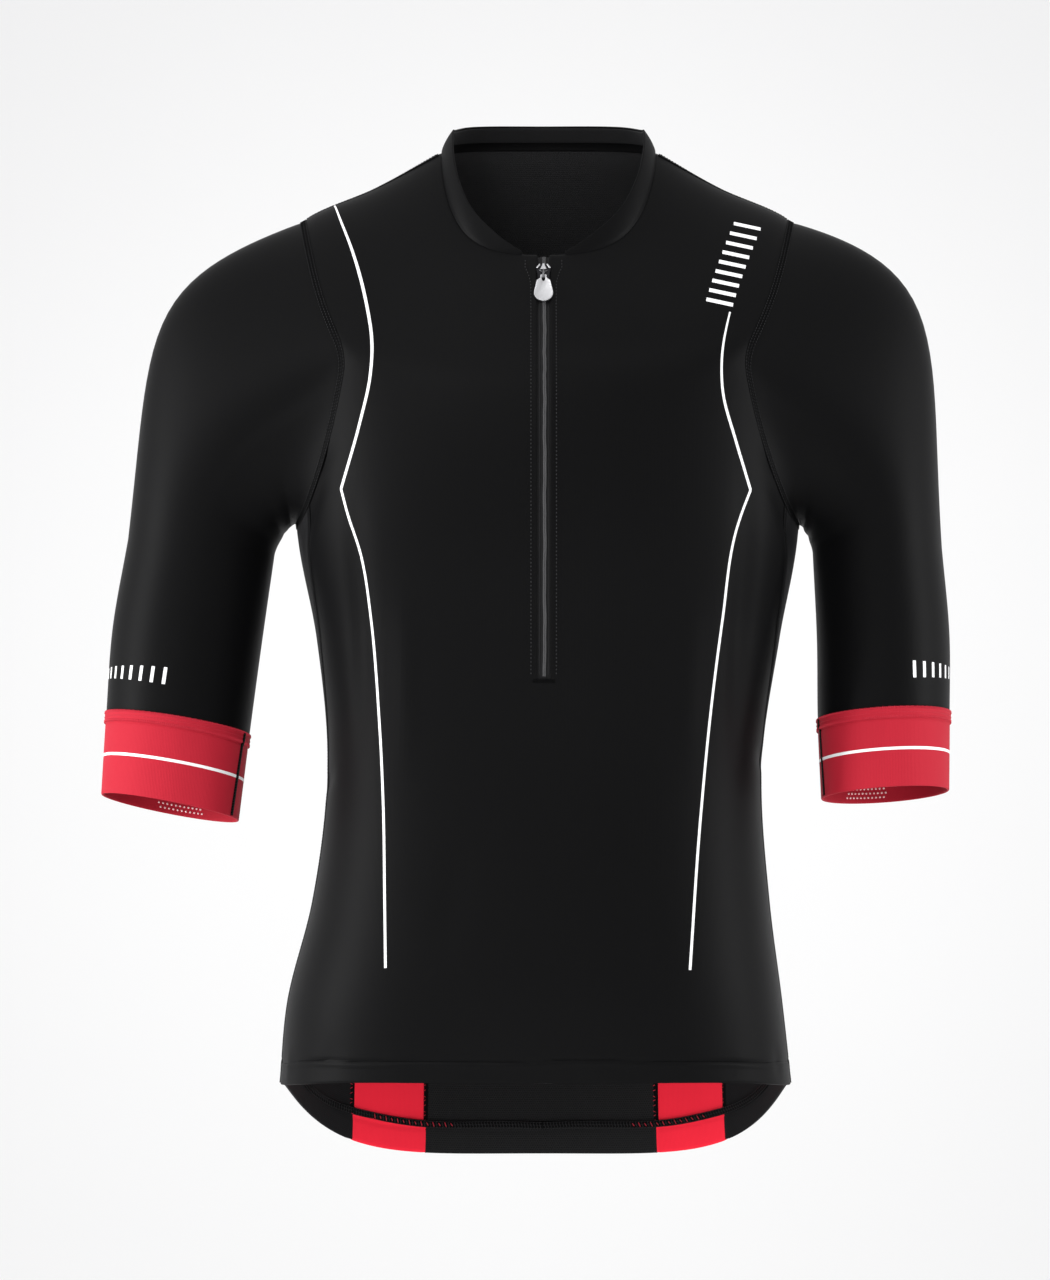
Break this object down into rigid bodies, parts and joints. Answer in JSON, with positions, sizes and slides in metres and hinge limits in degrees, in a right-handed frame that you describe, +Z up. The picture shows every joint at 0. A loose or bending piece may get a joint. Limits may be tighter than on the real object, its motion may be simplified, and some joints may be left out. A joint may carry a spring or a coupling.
{
  "type": "triathlon top",
  "caption": "Short-sleeved half-zip triathlon top in its worn shape, hollow, with wide red elastic cuffs, a low stand collar, a dropped back hem and a swinging zip pull.",
  "frame": {"origin": "between the two points where the shoulder seams meet the neck, where the wearer's shoulders hold it", "axes": "+Z up, -Y to the wearer's front, +X to the viewer's right seen from the front"},
  "size_m": [0.5566, 0.2306, 0.6951],
  "materials": {
    "black_knit": "matt",
    "black_mesh": "matt",
    "red_knit": "matt",
    "black_tape": "matt",
    "dark_metal": "satin",
    "silver_metal": "satin"
  },
  "bodies": {
    "garment": {"front_panel": "black_knit", "back_panel": "black_mesh", "side_panel_left": "black_knit", "side_panel_right": "black_knit", "back_stripe_left": "red_knit", "back_stripe_right": "red_knit", "sleeve_left": "black_knit", "sleeve_right": "black_knit", "cuff_left": "red_knit", "cuff_right": "red_knit", "collar": "black_knit", "neck_tape": "black_tape", "zip_tape": "black_tape", "zip_slider": "dark_metal"},
    "pull_tab": {"zip_pull": "silver_metal"}
  },
  "joints": [
    {"name": "pull_swing", "type": "hinge", "parent": "garment", "child": "pull_tab", "pos_m": [0, -0.07422, -0.08646], "axis": [-1, 0, 0], "range_deg": [0, 160]}
  ]
}
